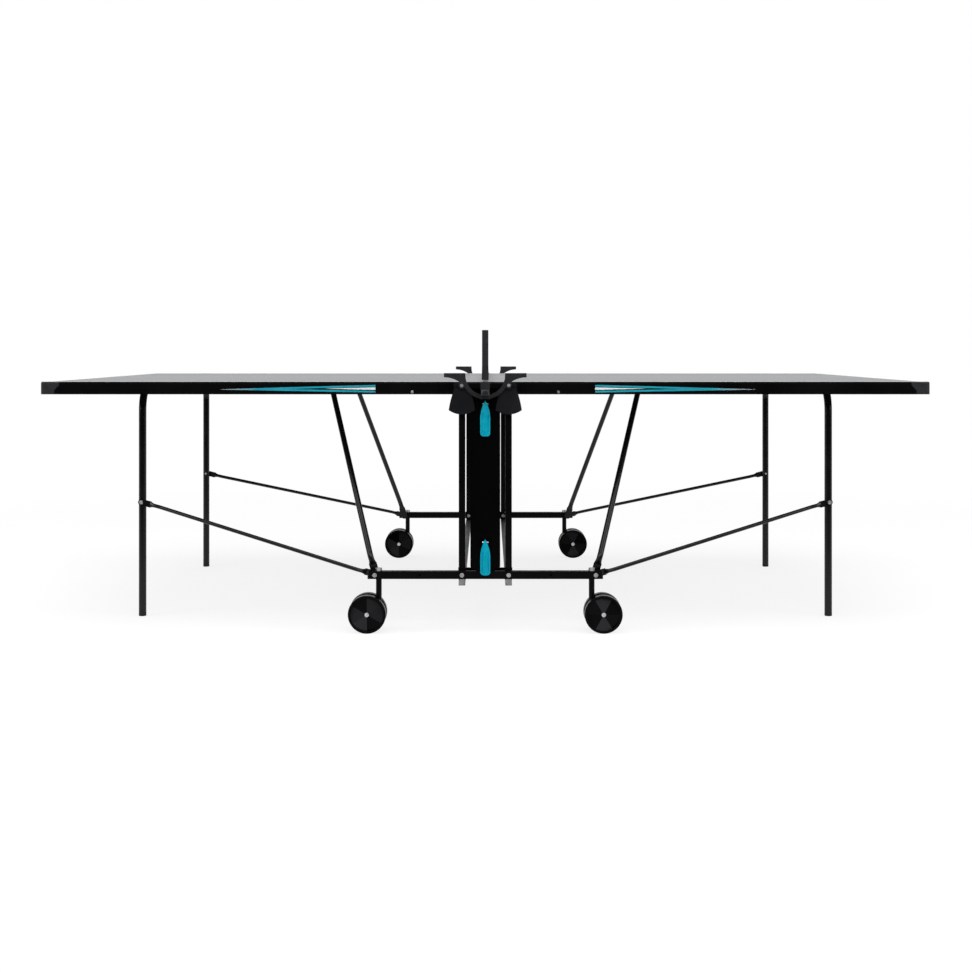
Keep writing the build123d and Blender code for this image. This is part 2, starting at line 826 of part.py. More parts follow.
guard = fillet(
    guard.edges().filter_by(
        lambda edge: abs(edge.center().Z - surface_z) < run_clearance
        and (
            edge.center().X > half_outer - apron_lip / 2
            or edge.center().Y > half_edge - apron_lip / 2
            or edge.geom_type == GeomType.CIRCLE
        )
    ),
    apron_edge_radius,
)
guard -= board

fold_pin = rod_y(
    fold_pin_radius, fold_x, fold_z, half_edge - apron_width, post_inner,
)
fold_pin += rod_y(
    fold_pin_head_radius, fold_x, fold_z, post_inner, post_inner + fold_pin_head,
)
apron_screw = rod_y(
    screw_radius, apron_screw_x, apron_screw_z, half_edge - apron_width / 2, half_edge,
)
apron_screw += rod_y(
    screw_head_radius, apron_screw_x, apron_screw_z, half_edge, half_edge + screw_head,
)
far_rail = side_rail(section_outline) - side_rail(section_bore) - guard_on_side
far_rail -= rod_y(
    fold_pin_radius + run_clearance, fold_x, fold_z,
    half_edge - apron_width - cut_margin, half_edge + cut_margin,
)
far_rail -= rod_y(
    screw_radius + run_clearance, apron_screw_x, apron_screw_z,
    half_edge - apron_width / 2, half_edge + cut_margin,
)
outer_rail = end_rail(section_outline) - end_rail(section_bore)
outer_rail -= guard_on_end
outer_rail -= flip_y(guard_on_end)
inner_rail = Pos(half_inner + half_outer, 0, 0) * flip_x(
    end_rail(section_outline) - end_rail(section_bore)
)
cross_rails = [
    square_tube(
        x - cross_rail_width / 2, x + cross_rail_width / 2,
        apron_width - half_edge, half_edge - apron_width,
        board_under - cross_rail_height, board_under, apron_wall, "y",
    )
    for x in cross_rail_x
]


def hinge_block(x, y, z, radius):
    """Block under the board whose bore carries a cross tube."""
    body = box(
        x - hinge_block_length / 2, x + hinge_block_length / 2,
        y - hinge_block_width / 2, y + hinge_block_width / 2,
        z - radius - hinge_block_wall, board_under,
    )
    bore = rod_y(
        radius + run_clearance, x, z, y - hinge_block_width, y + hinge_block_width,
    )
    return body - bore


hinge_blocks = both_y(hinge_block(support_x, support_block_y, support_z, support_radius))
hinge_blocks += both_y(hinge_block(leg_x, leg_block_y, leg_hinge_z, leg_radius))
half_pieces = {
    "board": [board],
    "apron": [far_rail, flip_y(far_rail), outer_rail, inner_rail, *cross_rails],
    "corner_guards": both_y(guard),
    "hinge_blocks": hinge_blocks,
    "fold_pins": both_y(fold_pin),
    "apron_screws": both_y(apron_screw),
}

# Sliding shoe: a block round the post, a bell shaped cover and an ear for the fold pin
bell_x = post_x
bell_edge = bell_bottom + bell_rise
bell_side = [
    (bell_half_top, bell_top),
    (bell_half_middle, (bell_top + bell_edge) / 2),
    (bell_half_bottom, bell_edge),
]
bell = Pos(bell_x, 0) * make_face([
    Line((-bell_half_top, bell_top), (bell_half_top, bell_top)),
    ThreePointArc(*bell_side),
    ThreePointArc((bell_half_bottom, bell_edge), (0, bell_bottom), (-bell_half_bottom, bell_edge)),
    ThreePointArc(*[(-x, z) for x, z in reversed(bell_side)]),
])
shoe = slab(bell, bell_back, bell_front)
block_top = bell_top - bridge_gap
block_bottom = bell_bottom + bridge_gap
shoe += box(
    post_x - shoe_half_width, post_x + shoe_half_width, shoe_inner, bell_back,
    block_bottom, block_top,
)
shoe -= box(
    post_x - post_size / 2 - seat_clearance, post_x + post_size / 2 + seat_clearance,
    post_inner - seat_clearance, post_outer + seat_clearance,
    bell_bottom - cut_margin, bell_top + cut_margin,
)
ear_outline = Polygon(
    (fold_x + shoe_ear_radius, fold_z), (fold_x - shoe_ear_radius, fold_z),
    (post_x, fold_z - shoe_ear_drop), (post_x + shoe_half_width, fold_z - shoe_ear_drop),
    align=None,
)
ear_outline += Pos(fold_x, fold_z) * Circle(shoe_ear_radius)
shoe += slab(ear_outline, shoe_inner, post_inner - seat_clearance)
shoe -= rod_y(
    fold_pin_radius + run_clearance, fold_x, fold_z, shoe_inner - cut_margin,
    post_inner + cut_margin,
)
half_pieces["shoes"] = both_y(shoe)

# End legs: one bent tube that hangs in the hinge blocks, with plugs for feet
leg_points = [
    (leg_x, -leg_y, foot_height), (leg_x, -leg_y, leg_hinge_z),
    (leg_x, leg_y, leg_hinge_z), (leg_x, leg_y, foot_height),
]
leg_frame = bent_tube(leg_points, leg_bend, leg_radius, leg_wall)
for side in (-1, 1):
    leg_frame -= rod_y(
        bolt_bore, leg_x, brace_bolt_z, side * leg_y - 2 * leg_radius, side * leg_y + 2 * leg_radius,
    )
half_pieces["leg_frame"] = [leg_frame]
foot = rod_z(leg_radius, leg_x, leg_y, 0, foot_height)
foot = fillet(foot.faces().sort_by(Axis.Z)[0].edges(), foot_height / 6)
foot += rod_z(
    leg_radius - leg_wall - run_clearance, leg_x, leg_y, foot_height, foot_height + foot_spigot,
)
half_pieces["leg_feet"] = both_y(foot)

# Support frame: a bent tube from the hinge blocks down and out to the pivots on the side bars
support_end_y = bar_inner - support_inset
support_towards = Vector(support_x - pivot_x, 0, support_z - bar_z).normalized()


def along(towards, x, y, z, distance):
    return Vector(x, y, z) + towards * distance


support_half = [
    along(support_towards, pivot_x, support_end_y, bar_z, taper_end),
    along(support_towards, pivot_x, support_end_y, bar_z, taper_end + flat_taper),
    Vector(support_x, support_y, support_z),
]
support_points = support_half + [Vector(p.X, -p.Y, p.Z) for p in reversed(support_half)]
support = bent_tube(
    support_points, [support_kink, support_bend, support_bend, support_kink],
    support_radius, support_wall,
)
support_foot = flat_end(
    pivot_x, support_end_y, bar_z, support_towards, support_radius, paddle_width,
    paddle_thickness,
)
support_foot += rod_y(
    bush_radius, pivot_x, bar_z, support_end_y + paddle_thickness / 2,
    eye_outer - eye_thickness - seat_clearance,
)
half_pieces["support"] = [support + support_foot + flip_y(support_foot)]

# Braces: a thin tube from each side bar pivot to the end leg, flattened at both ends
washer_inner = leg_y + leg_radius + run_clearance
brace_leg_y = washer_inner + brace_washer + eye_thickness / 2
brace_shift = brace_radius - eye_thickness / 2
brace_towards = Vector(leg_x - pivot_x, 0, brace_bolt_z - bar_z).normalized()
brace_start_y = eye_y + brace_shift
brace_end_y = brace_leg_y + brace_shift
brace_points = [
    along(brace_towards, pivot_x, brace_start_y, bar_z, taper_end),
    along(brace_towards, pivot_x, brace_start_y, bar_z, taper_end + flat_taper),
    along(brace_towards, leg_x, brace_end_y, brace_bolt_z, -taper_end - flat_taper),
    along(brace_towards, leg_x, brace_end_y, brace_bolt_z, -taper_end),
]
brace = bent_tube(brace_points, brace_kink, brace_radius, brace_wall)
brace += flat_end(
    pivot_x, eye_y, bar_z, brace_towards, brace_radius, eye_width, eye_thickness, brace_shift,
)
brace += flat_end(
    leg_x, brace_leg_y, brace_bolt_z, brace_towards * -1, brace_radius, eye_width, eye_thickness,
    brace_shift,
)
brace -= rod_y(
    bolt_radius + run_clearance, leg_x, brace_bolt_z, brace_leg_y - eye_thickness,
    brace_leg_y + eye_thickness,
)
brace_bolt = rod_y(
    bolt_radius, leg_x, brace_bolt_z, leg_y - leg_radius, brace_leg_y + eye_thickness / 2,
)
brace_bolt += rod_y(
    bolt_head_radius, leg_x, brace_bolt_z, brace_leg_y + eye_thickness / 2,
    brace_leg_y + eye_thickness / 2 + bolt_head,
)
brace_bolt += rod_y(
    brace_washer_radius, leg_x, brace_bolt_z, washer_inner, brace_leg_y - eye_thickness / 2,
)
half_pieces["braces"] = both_y(brace)
half_pieces["brace_bolts"] = both_y(brace_bolt)

for name, pieces in half_pieces.items():
    node(f"right_{name}", *pieces)
    node(f"left_{name}", *[flip_x(piece) for piece in pieces])

os.makedirs("parts", exist_ok=True)
for name, compound in nodes.items():
    export_step(compound, f"parts/{name}.step")
print(len(nodes), "nodes written")
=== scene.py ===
import json
import math

import bmesh
import bpy
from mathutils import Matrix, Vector


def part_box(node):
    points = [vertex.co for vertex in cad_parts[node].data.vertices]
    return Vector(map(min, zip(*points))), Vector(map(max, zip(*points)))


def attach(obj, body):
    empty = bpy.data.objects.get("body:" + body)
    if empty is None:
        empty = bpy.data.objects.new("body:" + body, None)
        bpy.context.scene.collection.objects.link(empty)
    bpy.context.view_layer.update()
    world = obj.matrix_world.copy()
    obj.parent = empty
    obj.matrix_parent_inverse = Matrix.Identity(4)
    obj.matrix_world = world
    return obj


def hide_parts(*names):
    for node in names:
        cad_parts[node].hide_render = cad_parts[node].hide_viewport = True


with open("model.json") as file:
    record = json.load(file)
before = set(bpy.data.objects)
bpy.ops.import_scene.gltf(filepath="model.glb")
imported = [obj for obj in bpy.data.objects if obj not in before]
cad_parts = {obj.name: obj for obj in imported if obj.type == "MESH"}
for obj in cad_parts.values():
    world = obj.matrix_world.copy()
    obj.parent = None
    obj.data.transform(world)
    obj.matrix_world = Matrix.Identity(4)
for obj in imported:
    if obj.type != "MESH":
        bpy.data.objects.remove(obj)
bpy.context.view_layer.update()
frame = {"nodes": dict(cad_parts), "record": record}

# Folding outdoor table tennis table. Metres, +X along the table, -Y towards the viewer, Z up.
MM = 0.001
SIDES = {"near": -1, "far": 1}
ENDS = {"left": -1, "right": 1}
board_low, board_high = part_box("right_board")
TABLE_TOP = board_high.z
HALF_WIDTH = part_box("right_apron")[1].y


def srgb(code):
    """Linear colour of an sRGB hex value."""
    parts = [int(code[i:i + 2], 16) / 255 for i in (1, 3, 5)]
    linear = [c / 12.92 if c <= 0.04045 else ((c + 0.055) / 1.055) ** 2.4 for c in parts]
    return (*linear, 1.0)


WHITE = srgb("#ffffff")


def add(tree, kind, values=None, **settings):
    """Adds a node with its settings, and sets or links its inputs by name or number."""
    made = tree.nodes.new(kind)
    for key, value in settings.items():
        setattr(made, key, value)
    for key, value in (values or {}).items():
        socket = made.inputs[key]
        if isinstance(value, bpy.types.NodeSocket):
            tree.links.new(value, socket)
        else:
            socket.default_value = value
    return made


def per_mm(size):
    """Texture scale whose features are about that many millimetres across."""
    return 1.0 / (size * MM)


def material(name):
    """A node material with its Principled shader and its Object coordinates."""
    made = bpy.data.materials.new(name)
    made.use_nodes = True
    tree = made.node_tree
    shader = tree.nodes["Principled BSDF"]
    place = add(tree, "ShaderNodeTexCoord").outputs["Object"]
    return made, tree, shader, place


# Part of a noise's range over which the shades of a patch change from one to the other
PATCH_RANGE = (0.325, 0.675)
SHINE = "Specular IOR Level"


def mottled(tree, shader, place, dark, light, patch_mm):
    """Base colour that drifts between two near shades in patches."""
    noise = add(tree, "ShaderNodeTexNoise", {
        "Vector": place, "Scale": per_mm(patch_mm), "Detail": 3.0, "Roughness": 0.6,
    })
    ramp = add(tree, "ShaderNodeValToRGB", {"Fac": noise.outputs["Fac"]})
    for stop, spot, tone in zip(ramp.color_ramp.elements, PATCH_RANGE, (dark, light)):
        stop.position = spot
        stop.color = srgb(tone)
    tree.links.new(ramp.outputs["Color"], shader.inputs["Base Color"])
    return noise


def grained(tree, shader, place, grain_mm, depth_mm, strength):
    """Fine moulded or sprayed grain as bump."""
    noise = add(tree, "ShaderNodeTexNoise", {
        "Vector": place, "Scale": per_mm(grain_mm), "Detail": 2.0, "Roughness": 0.55,
    })
    bump = add(tree, "ShaderNodeBump", {
        "Height": noise.outputs["Fac"], "Strength": strength, "Distance": depth_mm * MM,
    })
    tree.links.new(bump.outputs["Normal"], shader.inputs["Normal"])
    return noise


def uneven(tree, shader, source, low, high):
    """Roughness that follows a pattern between two values."""
    spread = add(tree, "ShaderNodeMapRange", {
        "Value": source.outputs["Fac"], "From Min": 0.3, "From Max": 0.7,
        "To Min": low, "To Max": high,
    })
    tree.links.new(spread.outputs["Result"], shader.inputs["Roughness"])


def surface(name, dark, light, patch_mm, grain_mm, depth_mm, strength, rough, sockets=None):
    """A finish of near shades in patches, with grain as bump and roughness that goes with them."""
    made, tree, shader, place = material(name)
    patches = mottled(tree, shader, place, dark, light, patch_mm)
    grained(tree, shader, place, grain_mm, depth_mm, strength)
    uneven(tree, shader, patches, *rough)
    for label, value in (sockets or {}).items():
        shader.inputs[label].default_value = value
    return made


def powder_coated_steel(name, dark, light, shine, rough):
    """Powder coated steel tube: satin black, with the faint orange peel of baked powder."""
    return surface(name, dark, light, patch_mm=90, grain_mm=2.2, depth_mm=0.05, strength=0.35,
                   rough=(rough, rough + 0.1), sockets={SHINE: shine})


def moulded_nylon(name, dark, light, shine):
    """Injection moulded glass filled nylon: charcoal with spark eroded grain."""
    return surface(name, dark, light, patch_mm=60, grain_mm=1.1, depth_mm=0.06, strength=0.5,
                   rough=(0.42, 0.54), sockets={SHINE: shine})


def zinc_plated_steel(name, dark, light):
    """Zinc plate on steel: silver with a faint milky bloom."""
    return surface(name, dark, light, patch_mm=7, grain_mm=0.8, depth_mm=0.02, strength=0.25,
                   rough=(0.28, 0.42), sockets={"Metallic": 1.0})


# Painted light and shade on a wheel's six facets, from the left round through the bottom, for the
# wheels of each end: each facet is lighter or darker by how the light falls on it
PAINTED_FACET_SHADES = {
    "left": ("#262628", "#303033", "#020203", "#222224", "#232325", "#030304"),
    "right": ("#0a0a0b", "#303033", "#070708", "#0b0b0c", "#2e2e31", "#060607"),
}
FIRST_FACET_DEG = {"left": 30, "right": 60}
FACET_DEG = 60
FACET_RADIUS = 49.4 * MM
WHEEL_RIM = "#060607"


def moulded_wheel_plastic(end):
    """Moulded polypropylene wheel: black, with painted light and shade on its facets, each lighter
    or darker by how the light falls on it.
    """
    made, tree, shader, place = material(f"moulded_{end}_wheel_plastic")
    speckle = grained(tree, shader, place, grain_mm=1.3, depth_mm=0.03, strength=0.3)
    uneven(tree, shader, speckle, low=0.22, high=0.3)
    shader.inputs[SHINE].default_value = 0.06
    low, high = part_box(f"near_{end}_axle")
    apart = add(tree, "ShaderNodeSeparateXYZ", {"Vector": place})
    across = add(tree, "ShaderNodeMath", {
        0: apart.outputs["X"], 1: (low.x + high.x) / 2,
    }, operation="SUBTRACT")
    upward = add(tree, "ShaderNodeMath", {
        0: apart.outputs["Z"], 1: (low.z + high.z) / 2,
    }, operation="SUBTRACT")
    hub = add(tree, "ShaderNodeCombineXYZ", {
        "X": across.outputs["Value"], "Y": upward.outputs["Value"],
    })
    turn = add(tree, "ShaderNodeTexGradient", {"Vector": hub.outputs["Vector"]},
               gradient_type="RADIAL")
    # Painted light and shade: each facet gets a fixed tone by its turn round the hub
    facets = add(tree, "ShaderNodeValToRGB", {"Fac": turn.outputs["Fac"]})
    ramp, painted_shades = facets.color_ramp, PAINTED_FACET_SHADES[end]
    ramp.interpolation = "CONSTANT"
    ramp.elements[0].color = srgb(painted_shades[0])
    ramp.elements.remove(ramp.elements[1])
    for k in range(len(painted_shades)):
        stop = ramp.elements.new((FIRST_FACET_DEG[end] + FACET_DEG * k) / 360)
        stop.color = srgb(painted_shades[(k + 1) % len(painted_shades)])
    reach = add(tree, "ShaderNodeVectorMath", {0: hub.outputs["Vector"]}, operation="LENGTH")
    inside = add(tree, "ShaderNodeMath", {
        0: reach.outputs["Value"], 1: FACET_RADIUS,
    }, operation="LESS_THAN")
    mixed = add(tree, "ShaderNodeMix", {
        0: inside.outputs["Value"], 6: srgb(WHEEL_RIM), 7: facets.outputs["Color"],
    }, data_type="RGBA")
    tree.links.new(mixed.outputs[2], shader.inputs["Base Color"])
    return made


# Stretch of a stripe, from the table's middle outwards, over which its tip turns pale
PALE_FROM = 0.70
PALE_TO = 0.82


def stripe_film(name, dark, light, pale_tip=None):
    """Vinyl film stripe: even colour, satin, laid flat on the rail, with a tip printed paler."""
    made, tree, shader, place = material(name)
    patches = mottled(tree, shader, place, dark, light, patch_mm=50)
    uneven(tree, shader, patches, low=0.34, high=0.42)
    shader.inputs[SHINE].default_value = 0.25
    if pale_tip:
        colour = shader.inputs["Base Color"].links[0].from_socket
        apart = add(tree, "ShaderNodeSeparateXYZ", {"Vector": place})
        along = add(tree, "ShaderNodeMath", {0: apart.outputs["X"]}, operation="ABSOLUTE")
        fade = add(tree, "ShaderNodeMapRange", {
            "Value": along.outputs["Value"], "From Min": PALE_FROM, "From Max": PALE_TO,
        })
        mixed = add(tree, "ShaderNodeMix", {
            0: fade.outputs["Result"], 6: colour, 7: srgb(pale_tip),
        }, data_type="RGBA")
        tree.links.new(mixed.outputs[2], shader.inputs["Base Color"])
    return made


THREAD_MM = 1.2


def woven_tape(name, dark, light):
    """Woven polyester tape: crossed threads of 0.5 mm, drawn at 1.2 mm so that they show."""
    made, tree, shader, place = material(name)
    patches = mottled(tree, shader, place, dark, light, patch_mm=18)
    waves = [
        add(tree, "ShaderNodeTexWave", {"Vector": place, "Scale": per_mm(THREAD_MM) / math.tau},
            bands_direction=axis)
        for axis in ("Y", "Z")
    ]
    weave = add(tree, "ShaderNodeMath", {
        0: waves[0].outputs["Fac"], 1: waves[1].outputs["Fac"],
    }, operation="MAXIMUM")
    bump = add(tree, "ShaderNodeBump", {
        "Height": weave.outputs["Value"], "Strength": 0.5, "Distance": 0.15 * MM,
    })
    tree.links.new(bump.outputs["Normal"], shader.inputs["Normal"])
    uneven(tree, shader, patches, low=0.7, high=0.85)
    shader.inputs["Sheen Weight"].default_value = 0.2
    return made


steel = powder_coated_steel("powder_coated_steel", "#020203", "#050506", shine=0.09, rough=0.3)
round_steel = powder_coated_steel(
    "coated_round_tube", "#050506", "#09090a", shine=0.3, rough=0.18,
)
# Powder coated rolled steel rail: flatter and drier than the tubes
apron_steel = surface(
    "coated_apron_steel", "#030304", "#060607", patch_mm=140,
    grain_mm=1.6, depth_mm=0.04, strength=0.4, rough=(0.36, 0.46), sockets={SHINE: 0.06},
)
# Weatherproof melamine board: anthracite, anti-glare lacquer with a fine even tooth
board = surface(
    "lacquered_melamine_board", "#4e5155", "#505357", patch_mm=220,
    grain_mm=1.4, depth_mm=0.03, strength=0.4, rough=(0.355, 0.365), sockets={SHINE: 0.6},
)
# Screen printed white line: a thin dry coat that hides the board completely
line_paint = surface(
    "printed_line_paint", "#e4e5e4", "#f0f0ee", patch_mm=30,
    grain_mm=1.4, depth_mm=0.02, strength=0.3, rough=(0.5, 0.6),
)
nylon = moulded_nylon("moulded_black_nylon", "#1f2023", "#262729", shine=0.18)
bell_nylon = moulded_nylon("moulded_bell_nylon", "#15161a", "#1a1b1e", shine=0.1)
# Lacquered black panel: deep and even, with the long soft wave of a rolled sheet
panel_black = surface(
    "lacquered_black_panel", "#020203", "#040405", patch_mm=160,
    grain_mm=45.0, depth_mm=0.05, strength=0.4, rough=(0.26, 0.34), sockets={SHINE: 0.06},
)
# Moulded polypropylene corner guard: a shade lighter than the rail, matt
guard_grey = surface(
    "moulded_grey_guard", "#1f2022", "#27282a", patch_mm=40,
    grain_mm=1.0, depth_mm=0.07, strength=0.6, rough=(0.48, 0.6), sockets={SHINE: 0.22},
)
# Moulded ABS lever: clear turquoise with a half gloss skin and soft flow marks
turquoise = surface(
    "moulded_turquoise_abs", "#009cb8", "#02b0c8", patch_mm=26,
    grain_mm=0.9, depth_mm=0.02, strength=0.3, rough=(0.24, 0.34), sockets={SHINE: 0.14},
)
zinc = zinc_plated_steel("zinc_plated_steel", "#b4b7ba", "#d6d8d9")
dull_zinc = zinc_plated_steel("dull_zinc_steel", "#6e7073", "#85878a")
bolt_zinc = zinc_plated_steel("passivated_bolt_zinc", "#909295", "#aaacaf")
# Pale polyethylene end plug: waxy, soft edged, a little uneven in tone
plug_grey = surface(
    "grey_polyethylene", "#7d7d80", "#929295", patch_mm=12,
    grain_mm=0.8, depth_mm=0.04, strength=0.4, rough=(0.42, 0.52),
)
wheel_black = {end: moulded_wheel_plastic(end) for end in ENDS}
film_turquoise = stripe_film("turquoise_vinyl_film", "#1596ab", "#23a6b8", pale_tip="#b9c6c8")
film_white = stripe_film("white_vinyl_film", "#e6e8e8", "#f2f3f3")
# Twisted polyester net cord: dark grey, matt, fibres that scatter at the edge
net_cord = surface(
    "knotted_polyester_cord", "#18181b", "#26262a", patch_mm=3,
    grain_mm=0.6, depth_mm=0.1, strength=0.7, rough=(0.65, 0.8),
    sockets={"Sheen Weight": 0.25, "Sheen Roughness": 0.5},
)
tape_white = woven_tape("woven_white_tape", "#dcdddb", "#efefed")
hem_black = woven_tape("woven_black_hem", "#141417", "#1f1f23")

# Finish of each node that is shown as it is: by the end of its name, or else by its slot
FINISH_BY_NAME = {
    "corner_guards": guard_grey,
    "shoes": bell_nylon,
    "centre_panel": panel_black,
    "net_clamps": dull_zinc,
    "leg_frame": round_steel,
    "support": round_steel,
    "braces": round_steel,
    "left_wheels": wheel_black["left"],
    "right_wheels": wheel_black["right"],
}
FINISH_BY_SLOT = {
    "melamine_board": board,
    "coated_steel_apron": apron_steel,
    "coated_steel_tube": steel,
    "black_plastic": nylon,
    "turquoise_plastic": turquoise,
    "zinc_plated_steel": zinc,
    "grey_plastic": plug_grey,
    "net_cloth": net_cord,
    "net_tape": tape_white,
}
slot_of = {part["node"]: part["material_slot"] for part in frame["record"]["subparts"]}
for name, obj in frame["nodes"].items():
    named = [made for ending, made in FINISH_BY_NAME.items() if name.endswith(ending)]
    obj.data.materials.clear()
    obj.data.materials.append(named[0] if named else FINISH_BY_SLOT[slot_of[name]])


def piece(name, mesh, body, finish=None):
    """A new piece from a mesh that is already in place, riding on a body."""
    obj = bpy.data.objects.new(name, mesh)
    bpy.context.scene.collection.objects.link(obj)
    if finish is not None:
        mesh.materials.clear()
        mesh.materials.append(finish)
    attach(obj, body)
    return obj


def join_rings(form, rings):
    """Joins each ring of vertices to the next by four sided faces."""
    for first, second in zip(rings, rings[1:]):
        for i in range(len(first)):
            j = (i + 1) % len(first)
            form.faces.new((first[i], first[j], second[j], second[i]))


def plate(form, outline, thickness, place):
    """Adds a thin closed plate: an outline in two coordinates, placed and thickened."""
    rings = [
        [form.verts.new(place(u, v, lift)) for u, v in outline] for lift in (0, thickness)
    ]
    for ring in rings:
        form.faces.new(ring)
    join_rings(form, rings)


def mesh_of(form, name, smooth=False):
    """Turns a bmesh into a mesh with faces that point outwards."""
    bmesh.ops.recalc_face_normals(form, faces=form.faces)
    made = bpy.data.meshes.new(name)
    form.to_mesh(made)
    form.free()
    if smooth:
        made.shade_smooth()
    return made


def arc(x, y, radius, start, sweep, steps):
    """Points of an arc round (x, y), from a start angle through a sweep, both in degrees."""
    angles = [math.radians(start + sweep * k / steps) for k in range(steps + 1)]
    return [(x + radius * math.cos(a), y + radius * math.sin(a)) for a in angles]


# Printed white lines: 20 mm along the edges and 3 mm along the middle of each half
EDGE_LINE = 20 * MM
MIDDLE_LINE = 3 * MM
PRINT = 0.12 * MM
BOARD_CORNER = 8 * MM
CORNER_STEPS = 6
inner, outer, edge = board_low.x, board_high.x, board_high.y
corner_x, corner_y = outer - BOARD_CORNER, edge - BOARD_CORNER
line_outer, line_edge = outer - EDGE_LINE, edge - EDGE_LINE
frame_line = [(inner, -edge)]
frame_line += arc(corner_x, -corner_y, BOARD_CORNER, -90, 90, CORNER_STEPS)
frame_line += arc(corner_x, corner_y, BOARD_CORNER, 0, 90, CORNER_STEPS)
frame_line += [(inner, edge), (inner, line_edge), (line_outer, line_edge)]
frame_line += [(line_outer, -line_edge), (inner, -line_edge)]
half_line = MIDDLE_LINE / 2
middle_line = [
    (inner, -half_line), (line_outer, -half_line), (line_outer, half_line), (inner, half_line),
]
for end, sign in ENDS.items():
    form = bmesh.new()
    for line in (frame_line, middle_line):
        plate(form, line, PRINT, lambda x, y, lift: (sign * x, y, TABLE_TOP + lift))
    piece(f"{end}_play_lines", mesh_of(form, f"{end}_play_lines"), f"{end}_half",
          line_paint)

# Tapered stripes on the long aprons: two turquoise wedges that part, with a white one between them.
# Their points are X from the table's middle and Z.
STRIPE_TIPS = {"left": 0.819, "right": 0.835}
UPPER_TIP_Z = 0.7363
LOWER_TIP_Z = 0.7359
STRIPE_END = 0.338
STRIPE_FORK = 0.600
STRIPE_BEND = 0.585
WHITE_TIP = 0.495
FILM = 0.15 * MM
UPPER_STRIPE = (
    (STRIPE_BEND, 0.7437), (STRIPE_END, 0.7502), (STRIPE_END, 0.7446), (STRIPE_FORK, 0.7376),
)
LOWER_STRIPE = (
    (STRIPE_FORK, 0.7373), (STRIPE_END, 0.7316), (STRIPE_END, 0.7265), (STRIPE_BEND, 0.7310),
)
WHITE_STRIPE = ((WHITE_TIP, 0.7386), (STRIPE_END, 0.7427), (STRIPE_END, 0.7346))
for end, sign in ENDS.items():
    tip = STRIPE_TIPS[end]
    wedges = (((tip, UPPER_TIP_Z),) + UPPER_STRIPE, ((tip, LOWER_TIP_Z),) + LOWER_STRIPE)
    for label, finish, shapes in (
        ("turquoise", film_turquoise, wedges), ("white", film_white, (WHITE_STRIPE,)),
    ):
        form = bmesh.new()
        for side in SIDES.values():
            for shape in shapes:
                plate(form, shape, FILM, lambda x, z, lift: (
                    sign * x, side * (HALF_WIDTH + lift), z,
                ))
        piece(f"{end}_{label}_stripes", mesh_of(form, f"{end}_{label}_stripes"), f"{end}_half",
              finish)


def node_tree(name, inputs):
    """A Geometry Nodes tree with named inputs, and the node that gives them."""
    tree = bpy.data.node_groups.new(name, "GeometryNodeTree")
    tree.interface.new_socket("Geometry", in_out="INPUT", socket_type="NodeSocketGeometry")
    for label, (kind, value) in inputs.items():
        socket = tree.interface.new_socket(label, in_out="INPUT", socket_type=kind)
        if value is not None:
            socket.default_value = value
    tree.interface.new_socket("Geometry", in_out="OUTPUT", socket_type="NodeSocketGeometry")
    return tree, add(tree, "NodeGroupInput")


def close_tree(tree, shape, finish):
    """Ends a tree: instances made real and the finish set."""
    real = add(tree, "GeometryNodeRealizeInstances", {"Geometry": shape})
    coated = add(tree, "GeometryNodeSetMaterial", {
        "Geometry": real.outputs["Geometry"], "Material": finish,
    })
    add(tree, "NodeGroupOutput", {"Geometry": coated.outputs["Geometry"]})


def grow(tree, name, start, settings):
    """Runs a tree with its settings on a mesh and returns the result as a plain mesh."""
    source = bpy.data.objects.new(name + "_source", start)
    bpy.context.scene.collection.objects.link(source)
    worker = source.modifiers.new("grow", "NODES")
    worker.node_group = tree
    codes = {
        item.name: item.identifier for item in tree.interface.items_tree
        if item.item_type == "SOCKET" and item.in_out == "INPUT"
    }
    for label, value in settings.items():
        worker[codes[label]] = value
    graph = bpy.context.evaluated_depsgraph_get()
    made = bpy.data.meshes.new_from_object(source.evaluated_get(graph))
    made.name = name
    source.modifiers.clear()
    bpy.data.objects.remove(source)
    return made


# Net: knotted cord in 12.5 mm squares, hung from a folded white tape and closed by a dark hem
NET_HALF = 0.904
NET_LOW = 0.762
NET_HIGH = 0.8975
TAPE_TOP = 0.9125
NET_CELL = 12.5 * MM
NET_SAG = 2.5 * MM
CORD_RADIUS = 0.75 * MM
CORD_SIDES = 4
KNOT_RADIUS = 1.25 * MM
net_height = NET_HIGH - NET_LOW

tree, entry = node_tree("knotted_net", {
    "Length": ("NodeSocketFloat", 2 * NET_HALF), "Height": ("NodeSocketFloat", net_height),
    "Columns": ("NodeSocketInt", 2), "Rows": ("NodeSocketInt", 2),
    "Cord Radius": ("NodeSocketFloat", CORD_RADIUS),
    "Knot Radius": ("NodeSocketFloat", KNOT_RADIUS),
})
grid = add(tree, "GeometryNodeMeshGrid", {
    "Size X": entry.outputs["Length"], "Size Y": entry.outputs["Height"],
    "Vertices X": entry.outputs["Columns"], "Vertices Y": entry.outputs["Rows"],
})
upright = add(tree, "GeometryNodeTransform", {
    "Geometry": grid.outputs["Mesh"], "Rotation": (math.pi / 2, 0, math.pi / 2),
    "Translation": (0, 0, (NET_LOW + NET_HIGH) / 2),
})
cords = add(tree, "GeometryNodeMeshToCurve", {"Mesh": upright.outputs["Geometry"]})
round_cord = add(tree, "GeometryNodeCurvePrimitiveCircle", {
    "Resolution": CORD_SIDES, "Radius": entry.outputs["Cord Radius"],
})
tubes = add(tree, "GeometryNodeCurveToMesh", {
    "Curve": cords.outputs["Curve"], "Profile Curve": round_cord.outputs["Curve"],
    "Fill Caps": True,
})
knot = add(tree, "GeometryNodeMeshIcoSphere", {
    "Radius": entry.outputs["Knot Radius"], "Subdivisions": 1,
})
knots = add(tree, "GeometryNodeInstanceOnPoints", {
    "Points": upright.outputs["Geometry"], "Instance": knot.outputs["Mesh"],
})
